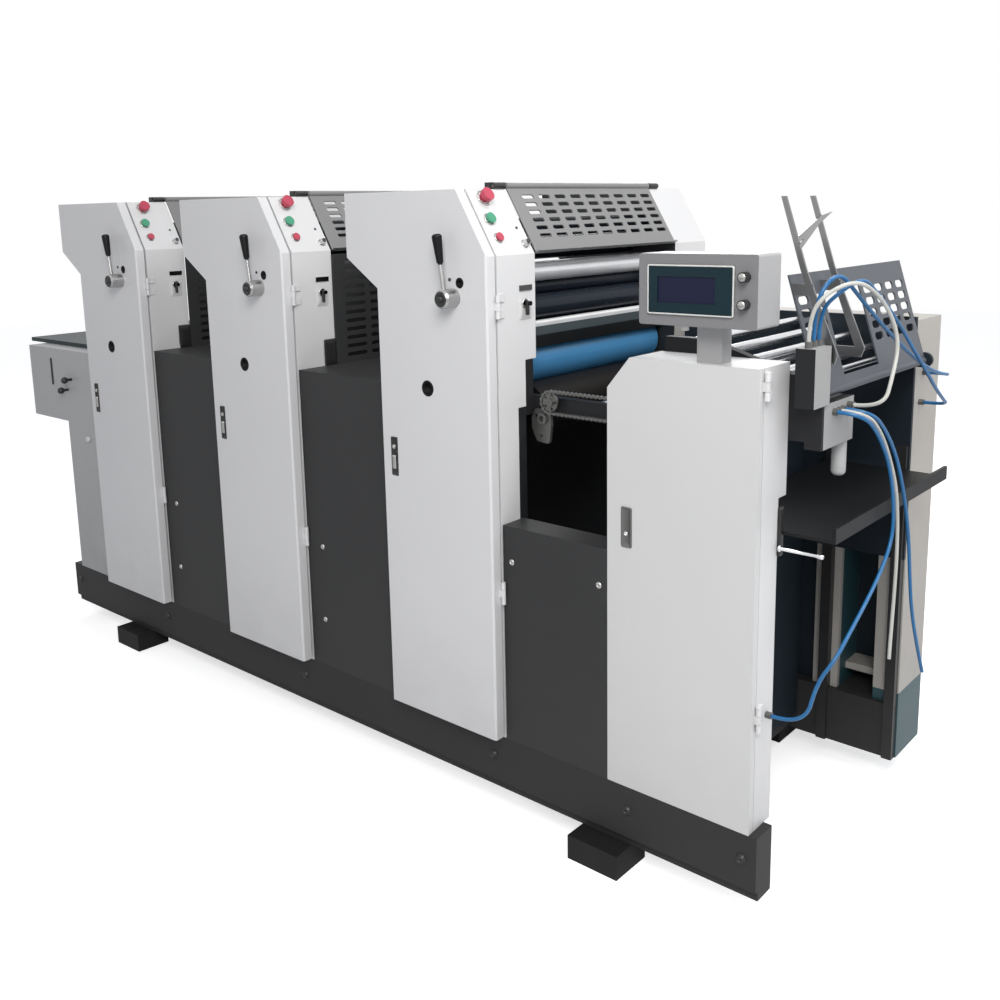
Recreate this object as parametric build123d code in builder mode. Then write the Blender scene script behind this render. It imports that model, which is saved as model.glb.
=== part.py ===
# Offset printing press with three printing units, feed end, control cabinet and delivery end.
# X runs along the press from feed end to delivery end, Y from operator side to drive side, Z up.
import os
from math import atan2, cos, degrees, hypot, radians, sin, tan

from build123d import *

os.makedirs("parts", exist_ok=True)

# Printing units, seen from the operator side; x is 0 at the first unit's left edge
units = 3
unit_pitch = 820.0
tower_top = 1710.0
tower_width = 527.0
slope_width = 100.0
slope_drop = 168.0
shoulder_drop = 174.0
shoulder_fall = 82.0
waist = 121.0
door_thick = 33.0
tower_front = 40.0
tower_depth = 154.0
foot_step = 45.0
step_drop = 445.0

# Drive side
drive_inner = 893.0
drive_tower_depth = 182.0

# Base
beam_low = 66.0
beam_height = 164.0
beam_depth = 75.0
toe_height = 25.0
toe_setback = 12.0
beam_start = -220.0
beam_end = 2918.0
cross_width = 75.0
cross_drop = 30.0
cross_end = 2616.0
rear_depth = 197.0
foot_width = 152.0
foot_reach = 55.0
foot_places = (190.0, 2418.0)

# Doors, hinges and levers
sill_gap = 6.0
hinge_radius = 6.0
hinge_length = 62.0
hinge_out = 8.0
hinge_drops = (296.0, 1059.0)
pin_radius = 3.0
lever_x = 412.0
lever_drop = 275.0
hub_radius = 25.0
hub_length = 48.0
lever_rod_radius = 6.0
grip_start = 92.0
grip_length = 74.0
grip_lean = 8.0
bush_x = 435.0
bush_drop = 236.0
bush_radius = 14.0
port_x = 308.0
port_drop = 522.0
port_radius = 22.0
latch_x = 170.0
latch_drop = 728.0
latch_width = 26.0
latch_height = 111.0
latch_deep = 6.0
fit_gap = 0.3

# Buttons and switches on the towers: distance along the slope or x, y, size
button_rows = ((27.0, 92.0, 18.5, 24.0), (90.0, 77.0, 14.5, 12.0), (145.0, 79.0, 11.5, 10.0))
selector_down = 166.0
selector_y = 172.0
selector_radius = 10.0
selector_length = 15.0
switch_plate_drop = 255.0
switch_plate_y = 153.0
toggle_drop = 295.0

# Slotted guards
guard_thick = 4.0
guard_gap = 5.0
guard_tube_radius = 9.0
guard_pin_radius = 5.0
guard_axis_back = 2.0
guard_axis_up = 9.0
bracket_width = 26.0
bracket_reach = 48.0
slot_shift = 16.0
slot_middle = 86.0
slot_rows = 6
slot_columns = 9
slot_pitch_down = 24.0
slot_pitch_across = 72.0
slot_long = 50.0
slot_high = 12.0
guard_lip = 14.0
upright_rows = 12
upright_slot_pitch = 27.0
upright_columns = 6
upright_pitch_across = 105.0
upright_slot_long = 84.0

# Dark covers between the towers
cover_drop = 527.0
cover_gap = 4.0
hinge_leaf = 3.0
deck_thick = 20.0
cover_3_drop = 872.0
cover_3_depth = 86.0

# Cylinders and rollers of the open third unit
cylinder_radius = 72.0
blanket_x = 400.0
blanket_drop = 470.0
plate_angle = 110.0
impression_angle = -60.0
form_radius = 34.0
form_angle = 9.0
rider_radius = 24.0
rider_angle = 116.0
chrome_radius = 27.0
chrome_angle = 57.5
nip = 0.6
end_gap = 9.0
journal_radius = 14.0
journal_gap = 0.4
journal_depth = 36.0
ink_roller_radii = (30.0, 24.0, 32.0)
ink_roller_places = ((395.0, 105.0), (452.0, 150.0), (350.0, 165.0))
tie_radius = 8.0
tie_x = 476.0
tie_drop = 361.0
guard_bar_high = 58.0
guard_bar_thick = 6.0

# Feed end
feed_left = -440.0
feed_bottom_drop = 864.0
feed_top_drop = 570.0
feed_depth = 130.0
feed_column_left = -160.0
feed_column_depth = 100.0
board_front = 117.0
board_thick = 16.0
board_left = -575.0

# Control cabinet and console
cab_left = 2505.0
cab_width = 392.0
cab_top_drop = 396.0
cab_door_thick = 20.0
cab_gap = 2.0
cab_depth = 140.0
cab_step = 37.0
cab_step_drop = 304.0
cab_hinge_shift = 140.0
cab_chamfer_x = 62.0
cab_chamfer_z = 75.0
console_left = 2620.0
console_width = 288.0
console_lift = 86.0
console_height = 156.0
console_front = 0.0
console_depth = 100.0
post_left = 2732.0
post_width = 62.0
post_depth = 42.0
screen_width = 204.0
screen_height = 101.0
screen_inset = 28.0
screen_thick = 5.0
screen_edges = (22.0, 40.0, 22.0)
screen_deep = 2.0
knob_radius = 11.0
knob_length = 20.0
knob_inset = 27.0
knob_rises = (53.0, 110.0)

# Delivery end
side_plate_thick = 24.0
rail_low_drop = 595.0
rail_height = 50.0
rail_overlap = 34.0
side_plate_end = 2975.0
side_plate_low_drop = 574.0
side_plate_high_drop = 360.0
side_plate_bend = 2690.0
side_plate_flat = 2900.0
side_plate_end_drop = 424.0
bridge_left = 120.0
bridge_edge = 20.0
end_block_left = 2935.0
end_block_width = 45.0
end_block_front = 125.0
end_block_drops = (488.0, 358.0)
end_ledge_back = 350.0
end_ledge_width = 40.0
end_ledge_low_drop = 590.0
drive_post_width = 75.0
drive_post_places = (2400.0, 2664.0, 2847.0)
post_cover_thick = 18.0
post_foot_rise = 35.0
drive_rail_top_drop = 370.0
drive_rail_height = 190.0
bay_panel_thick = 3.0
bay_setbacks = (20.0, 20.0, 137.0)
back_panel_thick = 8.0
back_panel_top_drop = 712.0
shelf_setback = 60.0
shelf_rise = 64.0
shelf_thick = 21.0
shaft_places = (
    (2340.0, 567.0, 12.0), (2500.0, 567.0, 12.0), (2590.0, 385.0, 12.0), (2640.0, 480.0, 12.0),
    (2680.0, 400.0, 12.0), (2730.0, 480.0, 12.0), (2760.0, 415.0, 12.0), (2830.0, 440.0, 12.0),
    (2884.0, 456.0, 9.0))
exit_roller_radius = 17.0
exit_roller_x = 2898.0
exit_roller_drop = 486.0
inner_panel_thick = 12.0
inner_panel_gap = 45.0
inner_panel_end = 2922.0
inner_panel_low_drop = 1040.0
ear_radius = 20.0
raised_top_x = 2868.0
raised_top_drop = 210.0
raised_low_x = 2948.0
raised_low_drop = 470.0
raised_rows = 5
raised_pitch = 30.0
raised_left = 150.0
raised_right = 300.0
raised_low_strip = 24.0
raised_high_strip = 42.0
raised_columns = (2, 4)
raised_slot_pitch = 70.0
raised_slot_long = 50.0
raised_slot_high = 19.0
guide_bar_spacing = 146.0
guide_bar_thick = 6.0
guide_bar_points = (
    (-100, 433), (-88, 433), (-36, 274), (42, 90), (34, 68), (20, 90), (-50, 274))
guide_bracket_rises = (80.0, 230.0)
guide_bracket_half = 12.0
guide_bracket_end = 56.0
guide_bracket_lean = 0.33
guide_strips = (((-4, 60), (150, 107), (216, 128), (150, 119), (-4, 72)),
    ((-4, 44), (150, 110), (150, 122), (-4, 56)))
table_left = 2700.0
table_right = 3029.0
table_front = 151.0
table_clearance = 7.0
table_drop = 785.0
table_rim = 35.0
table_thick = 8.0
table_rail_places = (2690.0, 2889.0)
table_rail_width = 29.0
table_rail_depth = 13.0
table_rail_rise = 70.0
shoe_gap = 0.8
shoe_reach = 8.0
shoe_height = 45.0

# Gripper bracket, sprockets and chain: x from the last unit, z from the chain rail's lower edge
gripper_thick = 10.0
gripper_points = ((1, -7), (1, -35), (12, -59), (20, -72), (60, -75), (66, -25), (64, 17), (14, 17))
gripper_corner = 7.0
gripper_hole = (15.0, -3.0, 6.5)
gripper_slot = (30.0, -55.0, 16.0, 6.0)
gripper_ring = (41.0, -7.0, 15.0, 8.0)
gripper_ring_length = 9.0
sprocket_near = 73.0
sprocket_far = 50.0
sprocket_drop = 554.0
sprocket_radius = 24.2
sprocket_hub = 11.0
sprocket_holes = 5
sprocket_hole_ring = 16.0
sprocket_hole_radius = 4.0
chain_front = 24.0
chain_width = 10.0
chain_line = 29.0
chain_band = 4.0
chain_roller = 4.5
chain_links = 17
chain_end_links = 14

# Air hoses in x, y and height against the tower top, each from one gland to another or to its free end
hose_radius = 4.5
hose_side = 3056.0
gland_radius = 8.0
regulator_place = (2955.0, 325.0)
regulator_radius = 17.0
regulator_length = 85.0
hose_routes = {
    "air_hose_1": (
        (2985, 240, -510), (3044, 240, -510), (3048, 318, -565), (3048, 392, -648), (3048, 432, -745),
        (3048, 436, -838), (3048, 370, -904), (3048, 288, -954), (3048, 203, -998), (3044, 138, -1042),
        (3012, 120, -1098), (2990, 112, -1207), (2911, 112, -1207)),
    "clear_hose_1": (
        (2985, 262, -510), (3044, 262, -510), (3045, 342, -567), (3041, 415, -644), (3042, 459, -720),
        (3042, 478, -795), (3042, 485, -880), (3042, 483, -965), (3042, 475, -1060),
        (3042, 468, -1155)),
    "air_hose_2": (
        (2985, 284, -510), (3044, 284, -510), (3046, 362, -563), (3045, 435, -632), (3045, 485, -710),
        (3045, 527, -795), (3045, 556, -882), (3045, 574, -970), (3045, 598, -1065), (3045, 644, -1165),
        (3045, 705, -1273)),
    "air_hose_3": (
        (2957, 165, -344), (2957, 165, -288), (2970, 166, -234), (2990, 210, -198), (3003, 281, -254),
        (3005, 365, -302), (3005, 446, -344), (3003, 540, -387), (3001, 624, -424), (3000, 712, -459),
        (2999, 800, -488), (2997, 880, -507), (2996, 952, -518), (2936, 952, -518)),
    "air_hose_4": (
        (2957, 190, -344), (2957, 190, -282), (3000, 196, -238), (3022, 262, -214), (3020, 335, -248),
        (3019, 415, -290), (3018, 505, -344), (3019, 594, -408), (3018, 688, -470), (3015, 775, -528),
        (3008, 860, -570), (2998, 932, -598), (2936, 932, -598)),
    "clear_hose_2": (
        (2957, 140, -344), (2957, 140, -286), (2990, 150, -238), (3026, 215, -216), (3036, 300, -248),
        (3044, 372, -302), (hose_side, 394, -370), (hose_side, 362, -442), (hose_side, 318, -505),
        (2989, 318, -505)),
}

# Values worked out from those above
raised_axis_z = tower_top - raised_low_drop - 4
beam_top = beam_low + beam_height
tower_back = tower_front + tower_depth
lower_back = tower_back - foot_step
step_z = tower_top - step_drop
slope_start = tower_width - slope_width
slope_low = tower_top - slope_drop
drive_outer = drive_inner + drive_tower_depth
slope_angle = degrees(atan2(slope_drop, slope_width))
slope_length = hypot(slope_drop, slope_width)
cab_right = cab_left + cab_width
cab_top = tower_top - cab_top_drop
cab_back = tower_front + cab_depth
mid_y = (drive_outer + foot_reach - hub_length) / 2
mid_x = (board_left + table_right) / 2
between = (tower_back + drive_inner) / 2
deck_z = tower_top - cover_drop
panel_face = drive_inner - inner_panel_thick
table_rail_front = panel_face - table_rail_depth
table_back = table_rail_front - table_clearance


def block(x, y, z, mode=Mode.ADD):
    """A box between two values on each axis, in the current builder."""
    centre = ((x[0] + x[1]) / 2, (y[0] + y[1]) / 2, (z[0] + z[1]) / 2)
    with Locations(centre):
        Box(x[1] - x[0], y[1] - y[0], z[1] - z[0], mode=mode)


def rod(x, z, y, radius, mode=Mode.ADD):
    """A cylinder along Y between two values of y, in the current builder."""
    with Locations(Location((x, (y[0] + y[1]) / 2, z), (90, 0, 0))):
        Cylinder(radius, abs(y[1] - y[0]), mode=mode)


def pin(x, y, z, radius, mode=Mode.ADD):
    """An upright cylinder between two heights, in the current builder."""
    with Locations((x, y, (z[0] + z[1]) / 2)):
        Cylinder(radius, z[1] - z[0], mode=mode)


def panel(points, y):
    """A plate with the given outline in x and z, between two values of y."""
    with BuildSketch(Plane.XZ.offset(-y[0])) as shape:
        with BuildLine():
            Polyline(*points, close=True)
        make_face()
    extrude(shape.sketch, amount=-(y[1] - y[0]))


def save(piece, label):
    """Move a finished piece over the origin, label it and write its STEP file."""
    placed = piece.part.moved(Location((-mid_x, -mid_y, 0)))
    placed.label = label
    export_step(placed, f"parts/{label}.step")


def unit_x(number):
    """Left edge of a printing unit, the first one being number 1."""
    return (number - 1) * unit_pitch


def touching(base, base_radius, radius, angle):
    """Centre of a roller that runs on another one, seen at an angle from +X."""
    reach = base_radius + radius + nip
    return (base[0] + reach * cos(radians(angle)), base[1] + reach * sin(radians(angle)))


def outline(left, low):
    """Profile of a unit in x and z: shoulder on the left, slope on the right."""
    shoulder = tower_top - shoulder_drop
    return (
        (left, tower_top), (left, shoulder), (left + waist, shoulder - shoulder_fall), (left + waist, low),
        (left + tower_width, low), (left + tower_width, slope_low), (left + slope_start, tower_top))


def on_slope(left, down, y, rise):
    """Plane on the slope of a unit, some way down it, with z pointing out of it."""
    tilt = radians(slope_angle)
    x = left + slope_start + down * cos(tilt) + rise * sin(tilt)
    z = tower_top - down * sin(tilt) + rise * cos(tilt)
    return Plane(origin=(x, y, z), x_dir=(0, 1, 0), z_dir=(sin(tilt), 0, cos(tilt)))


def hose(label, points):
    """A hose of straight runs and arcs, each arc as wide as the shorter run beside it allows."""
    runs = [Vector(*b) - Vector(*a) for a, b in zip(points, points[1:])]
    radii = [
        0.45 * min(a.length, b.length) / tan(radians(a.get_angle(b) / 2))
        for a, b in zip(runs, runs[1:])]
    print(label, "arc radii", [round(value) for value in radii])
    with BuildLine() as route:
        FilletPolyline(*points, radius=radii)
    with BuildSketch(Plane(origin=route.line @ 0, z_dir=route.line % 0)) as shape:
        Circle(hose_radius)
    sweep(shape.sketch, path=route.line)


# Centres of the cylinders and rollers: the blanket cylinder carries the others
last = unit_x(units)
blanket = (last + blanket_x, tower_top - blanket_drop)
plate = touching(blanket, cylinder_radius, cylinder_radius, plate_angle)
impression = touching(blanket, cylinder_radius, cylinder_radius, impression_angle)
form = touching(plate, cylinder_radius, form_radius, form_angle)
rider = touching(form, form_radius, rider_radius, rider_angle)
chrome = touching(rider, rider_radius, chrome_radius, chrome_angle)
turning = {
    "blanket_cylinder": (blanket, cylinder_radius),
    "impression_cylinder": (impression, cylinder_radius),
    "plate_cylinder": (plate, cylinder_radius),
    "form_roller": (form, form_radius),
    "rider_roller": (rider, rider_radius),
    "chrome_roller": (chrome, chrome_radius),
}

# Base: two beams with a set-back toe, cross members and feet
with BuildPart() as base_frame:
    front = (tower_front, tower_front + beam_depth)
    rear = (drive_outer - rear_depth, drive_outer)
    block((beam_start, beam_end), front, (beam_low + toe_height, beam_top))
    block((beam_start, beam_end), (front[0] + toe_setback, front[1]), (beam_low, beam_low + toe_height))
    block((beam_start, beam_end), rear, (beam_low + toe_height, beam_top))
    block((beam_start, beam_end), (rear[0], rear[1] - toe_setback), (beam_low, beam_low + toe_height))
    middle = (beam_start + cross_end - cross_width) / 2
    for left in (beam_start, middle, cross_end - cross_width):
        block((left, left + cross_width), (front[1], rear[0]),
            (beam_low + toe_height, beam_top - cross_drop))
    for left in foot_places:
        block((left, left + foot_width), (front[0] - foot_reach, front[1]), (0, beam_low))
        block((left, left + foot_width), (rear[0], rear[1] + foot_reach), (0, beam_low))
    block((drive_post_places[-1], beam_end + 1), (drive_inner, rear[1] + 1), (beam_low - 1, beam_top + 1),
          Mode.SUBTRACT)
save(base_frame, "base_frame")

# Operator-side towers with bearing bores and the fixed halves of the door hinges
half = hinge_length / 6 - fit_gap
with BuildPart() as towers:
    for number in range(1, units + 1):
        left = unit_x(number)
        right = left + tower_width
        hinge_x = right + hinge_out
        panel(outline(left, beam_top), (tower_front, tower_back))
        block((left, right), (lower_back, tower_back + 1), (beam_top - 1, step_z), Mode.SUBTRACT)
        for drop in hinge_drops:
            for sign in (-1, 1):
                middle = tower_top - drop + sign * hinge_length / 3
                heights = (middle - half, middle + half)
                block((right, right + hinge_leaf), (door_thick + 2, tower_front + 24), heights)
                block((right, hinge_x), (door_thick + 2, door_thick + hinge_radius), heights)
                pin(hinge_x, door_thick, heights, hinge_radius)
            middle = tower_top - drop
            pin(hinge_x, door_thick, (middle - hinge_length / 2, middle + hinge_length / 2), pin_radius)
    for centre, radius in turning.values():
        back = tower_back if centre[1] > step_z + radius else lower_back
        rod(centre[0], centre[1], (back - journal_depth, tower_back + 1), journal_radius + journal_gap,
            Mode.SUBTRACT)
save(towers, "operator_towers")

# Doors that fill the operator face, hinged on their right edge
for number in range(1, units + 1):
    left = unit_x(number)
    hinge_x = left + tower_width + hinge_out
    with BuildPart() as door:
        panel(outline(left, beam_top + sill_gap), (0, door_thick))
        upright = door.edges().filter_by(Axis.Z).sort_by(Axis.Y)[:3]
        chamfer(upright, 5)
        rod(left + bush_x, tower_top - bush_drop, (-1, 14), bush_radius, Mode.SUBTRACT)
        rod(left + port_x, tower_top - port_drop, (-1, 22), port_radius, Mode.SUBTRACT)
        latch_z = tower_top - latch_drop
        block((left + latch_x - latch_width / 2, left + latch_x + latch_width / 2), (-1, latch_deep),
              (latch_z - latch_height / 2, latch_z + latch_height / 2), Mode.SUBTRACT)
        for drop in hinge_drops:
            heights = (tower_top - drop - half, tower_top - drop + half)
            block((left + tower_width - 6, hinge_x), (door_thick - 6, door_thick), heights)
            pin(hinge_x, door_thick, heights, hinge_radius)
            pin(hinge_x, door_thick, (heights[0] - 1, heights[1] + 1), pin_radius + fit_gap, Mode.SUBTRACT)
    save(door, f"tower_door_{number}")

# Levers: a hub against the door, a rod and a tapered grip that leans a little
for number in range(1, units + 1):
    x = unit_x(number) + lever_x
    z = tower_top - lever_drop
    with BuildPart() as lever:
        rod(x, z, (-hub_length, 0), hub_radius)
        chamfer(lever.edges().filter_by(GeomType.CIRCLE).sort_by(Axis.Y)[0], 5)
        with Locations(Location((x, -hub_length + 16, z), (0, -grip_lean, 0))):
            with Locations((0, 0, grip_start / 2)):
                Cylinder(lever_rod_radius, grip_start)
            with Locations((0, 0, grip_start + grip_length / 2)):
                Cone(9, 14, grip_length)
        fillet(lever.edges().filter_by(GeomType.CIRCLE).sort_by(Axis.Z)[-1], 8)
    save(lever, f"impression_lever_{number}")

# Stop and push buttons, all on the slopes of the towers
with BuildPart() as push_buttons:
    for number in range(1, units + 1):
        for down, y, radius, length in button_rows:
            with BuildSketch(on_slope(unit_x(number), down, y, 0)):
                Circle(radius * 0.7)
            extrude(amount=length)
            with BuildSketch(on_slope(unit_x(number), down, y, length * 0.5)):
                Circle(radius)
            extrude(amount=length * 0.5)
save(push_buttons, "push_buttons")

# Selector knobs on the slopes, switch plates and toggles on the delivery-side faces
with BuildPart() as selector_switches:
    for number in range(1, units + 1):
        right = unit_x(number) + tower_width
        with BuildSketch(on_slope(unit_x(number), selector_down, selector_y, 0)):
            Circle(selector_radius)
        extrude(amount=selector_length, taper=6)
        plate_z = tower_top - switch_plate_drop
        block((right, right + 3), (switch_plate_y - 25, switch_plate_y + 25), (plate_z - 7, plate_z + 7))
        with Locations(Location((right + 11, switch_plate_y - 4, tower_top - toggle_drop), (0, 90, 0))):
            Cylinder(6, 22)
save(selector_switches, "selector_switches")

# Slotted guards on pins at their top edge, and the black brackets that carry the pins
axis_z = tower_top + guard_axis_up
for number in range(1, units + 1):
    axis_x = unit_x(number) + slope_start - guard_axis_back
    with BuildPart() as guard:
        with BuildSketch(on_slope(unit_x(number), 0, between, 0)):
            with Locations((0, -slope_length / 2)):
                Rectangle(drive_inner - tower_back - 2 * guard_gap, slope_length)
            with Locations((slot_shift, -slot_middle)):
                with GridLocations(slot_pitch_across, slot_pitch_down, slot_columns, slot_rows):
                    SlotOverall(slot_long, slot_high, mode=Mode.SUBTRACT)
        extrude(amount=guard_thick)
        with BuildSketch(on_slope(unit_x(number), slope_length - guard_thick, between, 0)):
            with Locations((0, -guard_thick / 2)):
                Rectangle(drive_inner - tower_back - 2 * guard_gap, guard_thick)
        extrude(amount=guard_lip)
        rod(axis_x, axis_z, (tower_back + guard_gap, drive_inner - guard_gap), guard_tube_radius)
        rod(axis_x, axis_z, (tower_back - bracket_reach + 4, drive_inner + bracket_reach - 4),
            guard_pin_radius)
    save(guard, f"slotted_guard_{number}")
with BuildPart() as guard_brackets:
    for number in range(1, units + 1):
        axis_x = unit_x(number) + slope_start - guard_axis_back
        for y in ((tower_back - bracket_reach, tower_back - 2),
            (drive_inner + 2, drive_inner + bracket_reach)):
            block((axis_x - bracket_width, axis_x + guard_axis_back), y,
                (tower_top, axis_z + guard_axis_up))
            rod(axis_x, axis_z, y, guard_axis_up)
            rod(axis_x, axis_z, (y[0] - 1, y[1] + 1), guard_pin_radius + journal_gap, Mode.SUBTRACT)
save(guard_brackets, "guard_brackets")

# Upright slotted guards under them on the first two units
with BuildPart() as upright_guards:
    for number in range(1, units):
        right = unit_x(number) + tower_width
        height = slope_low - 12 - deck_z
        with BuildSketch(Plane(origin=(right + cover_gap, between, deck_z), x_dir=(0, 1, 0),
                z_dir=(1, 0, 0))):
            with Locations((0, height / 2)):
                Rectangle(drive_inner - tower_back, height)
                with GridLocations(upright_pitch_across, upright_slot_pitch, upright_columns, upright_rows):
                    SlotOverall(upright_slot_long, slot_high, mode=Mode.SUBTRACT)
        extrude(amount=guard_thick)
save(upright_guards, "upright_guards")

# Dark covers between the towers, with a deck on top
with BuildPart() as lower_covers:
    for number in range(1, units + 1):
        left = unit_x(number) + tower_width + cover_gap
        right = unit_x(number + 1) + waist if number < units else cab_left
        top = deck_z if number < units else tower_top - cover_3_drop
        back = drive_inner if number < units else tower_front + cover_3_depth
        block((left, right), (tower_front, tower_front + beam_depth), (beam_top, top))
        block((left, right), (tower_front, back), (top - deck_thick, top))
save(lower_covers, "lower_covers")

# Drive side: three towers over one gear case
with BuildPart() as drive_housing:
    for number in range(1, units + 1):
        panel(outline(unit_x(number), beam_top), (drive_inner, drive_outer))
    block((waist, unit_x(units) + tower_width), (drive_inner, drive_outer - door_thick), (beam_top, deck_z))
    for centre, radius in turning.values():
        rod(centre[0], centre[1], (drive_inner - 1, drive_inner + journal_depth),
            journal_radius + journal_gap,
            Mode.SUBTRACT)
save(drive_housing, "drive_side_housing")

# Cylinders and rollers of the third unit, on journals in both sides
for label, (centre, radius) in turning.items():
    back = tower_back if centre[1] > step_z + radius else lower_back
    start = max(tower_back, cab_back + 1 + side_plate_thick) + end_gap
    with BuildPart() as turner:
        rod(centre[0], centre[1], (start, drive_inner - end_gap), radius)
        rod(centre[0], centre[1], (back - journal_depth + 2, drive_inner + journal_depth - 2),
            journal_radius)
    save(turner, label)

# Ink rollers seen through the slots, running from side to side
with BuildPart() as ink_rollers:
    for number in range(1, units + 1):
        for (x, drop), radius in zip(ink_roller_places, ink_roller_radii):
            rod(unit_x(number) + x, tower_top - drop, (tower_back + end_gap, drive_inner - end_gap), radius)
            rod(unit_x(number) + x, tower_top - drop, (tower_back, drive_inner), journal_radius - 4)
save(ink_rollers, "ink_rollers")

# Bright tie bar and finger guard bar across the third unit
with BuildPart() as tie_bar:
    tie_z = tower_top - tie_drop
    rod(last + tie_x, tie_z, (tower_back, drive_inner), tie_radius)
    block((last + tie_x + 2, last + tie_x + 2 + guard_bar_thick), (tower_back, drive_inner),
          (tie_z - tie_radius - guard_bar_high, tie_z))
save(tie_bar, "tie_bar")

# Feed end: box on a column at the operator side, the same at the drive side, board between
feed_low = tower_top - feed_bottom_drop
feed_top = tower_top - feed_top_drop
with BuildPart() as feed_boxes:
    block((feed_left, waist), (tower_front, tower_front + feed_depth), (feed_low, feed_top))
    block((feed_column_left, waist), (tower_front, tower_front + feed_column_depth), (beam_top, feed_low))
    block((feed_left, waist), (drive_outer - feed_depth, drive_outer), (feed_low, feed_top))
    block((feed_column_left, waist), (drive_outer - feed_column_depth, drive_outer), (beam_top, feed_low))
save(feed_boxes, "feed_boxes")
with BuildPart() as feed_board:
    block((board_left, waist - 10), (board_front, drive_outer - board_front + tower_front),
          (feed_top, feed_top + board_thick))
save(feed_board, "feed_board")

# Control cabinet with its door
cab_outline = (
    (cab_left, beam_top), (cab_right, beam_top), (cab_right, cab_top), (cab_left + cab_chamfer_x, cab_top),
    (cab_left, cab_top - cab_chamfer_z))
cab_body = tower_front + cab_door_thick + cab_gap
cab_hinge_x = cab_right + hinge_out
cab_hinge_y = cab_body - cab_gap
with BuildPart() as cabinet:
    panel(cab_outline, (cab_body, cab_back))
    block((cab_left, cab_right), (cab_back - cab_step, cab_back + 1),
        (beam_top - 1, cab_top - cab_step_drop),
          Mode.SUBTRACT)
    for drop in hinge_drops:
        centre_z = tower_top - drop - cab_hinge_shift
        for sign in (-1, 1):
            middle = centre_z + sign * hinge_length / 3
            block((cab_right, cab_hinge_x), (cab_body, cab_body + 20), (middle - half, middle + half))
            pin(cab_hinge_x, cab_hinge_y, (middle - half, middle + half), hinge_radius)
        pin(cab_hinge_x, cab_hinge_y, (centre_z - hinge_length / 2, centre_z + hinge_length / 2),
            pin_radius)
save(cabinet, "control_cabinet")
with BuildPart() as cabinet_door:
    panel(cab_outline, (tower_front, tower_front + cab_door_thick))
    for drop in hinge_drops:
        middle = tower_top - drop - cab_hinge_shift
        block((cab_right - 6, cab_hinge_x), (cab_hinge_y - 6, cab_hinge_y), (middle - half, middle + half))
        pin(cab_hinge_x, cab_hinge_y, (middle - half, middle + half), hinge_radius)
        pin(cab_hinge_x, cab_hinge_y, (middle - half - 1, middle + half + 1), pin_radius + fit_gap,
            Mode.SUBTRACT)
save(cabinet_door, "cabinet_door")

# Console on its post, with a framed screen and two knobs
console_low = cab_top + console_lift
console_right = console_left + console_width
with BuildPart() as console:
    block((console_left, console_right), (console_front, console_front + console_depth),
          (console_low, console_low + console_height))
    fillet(console.edges().filter_by(Axis.Y), 6)
    block((post_left, post_left + post_width), (cab_body, cab_body + post_depth), (cab_top, console_low))
save(console, "console_box")
with BuildPart() as screen:
    low = console_low + screen_inset
    block((console_left + screen_inset, console_left + screen_inset + screen_width),
          (console_front - screen_thick, console_front), (low, low + screen_height))
    glass_left = console_left + screen_inset + screen_edges[0]
    glass_right = console_left + screen_inset + screen_width - screen_edges[1]
    block((glass_left, glass_right), (console_front - screen_thick - 1, console_front - screen_deep),
          (low + screen_edges[2], low + screen_height - screen_edges[2]), Mode.SUBTRACT)
save(screen, "console_screen")
for number, rise in enumerate(knob_rises, start=1):
    with BuildPart() as knob:
        reach = (console_front - knob_length, console_front - fit_gap)
        rod(console_right - knob_inset, console_low + rise, reach, knob_radius)
    save(knob, f"console_knob_{number}")

# Delivery end: side plate at the operator side, with the chain rail that leads to it
rail_low = tower_top - rail_low_drop
plate_y = (cab_back + 1, cab_back + 1 + side_plate_thick)
with BuildPart() as operator_frame:
    plate_low = tower_top - side_plate_low_drop
    plate_high = tower_top - side_plate_high_drop
    plate_end_high = tower_top - side_plate_end_drop
    plate_left = cab_left + cab_chamfer_x
    rail_left = last + tower_width - rail_overlap
    rail_high = rail_low + rail_height
    panel(
        ((rail_left, rail_low), (plate_left, rail_low), (plate_left, plate_low),
            (side_plate_end, plate_low),
         (side_plate_end, plate_end_high), (side_plate_flat, plate_end_high), (side_plate_bend, plate_high),
         (plate_left + 10, plate_high), (plate_left, rail_high), (rail_left, rail_high)),
        plate_y)
    block((rail_left, last + tower_width), (lower_back, plate_y[0]), (rail_low, step_z))
    block((end_block_left, end_block_left + end_block_width), (end_block_front, plate_y[1]),
          (tower_top - end_block_drops[0], tower_top - end_block_drops[1]))
    block((end_block_left, end_block_left + end_ledge_width), (plate_y[0], end_ledge_back),
          (tower_top - end_ledge_low_drop, tower_top - end_block_drops[0]))
    rod(raised_low_x, raised_axis_z, (plate_y[0] - 1, plate_y[1] + 1), guard_pin_radius + journal_gap,
        Mode.SUBTRACT)
    block((cab_left + bridge_left, cab_right - bridge_edge), (cab_back, plate_y[0]),
          (plate_low, cab_top - bridge_edge))
save(operator_frame, "delivery_operator_frame")

# Dark panel on the inner side of the drive-side frame
with BuildPart() as inner_panel:
    block((last + tower_width + inner_panel_gap, inner_panel_end), (panel_face, drive_inner),
          (tower_top - inner_panel_low_drop, tower_top - side_plate_high_drop))
    block((inner_panel_end - 1, raised_low_x), (panel_face, drive_inner),
          (raised_axis_z - ear_radius, raised_axis_z + ear_radius))
    rod(raised_low_x, raised_axis_z, (panel_face, drive_inner), ear_radius)
    rod(raised_low_x, raised_axis_z, (panel_face - 1, drive_inner + 1), guard_pin_radius + journal_gap,
        Mode.SUBTRACT)
save(inner_panel, "delivery_inner_panel")

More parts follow.
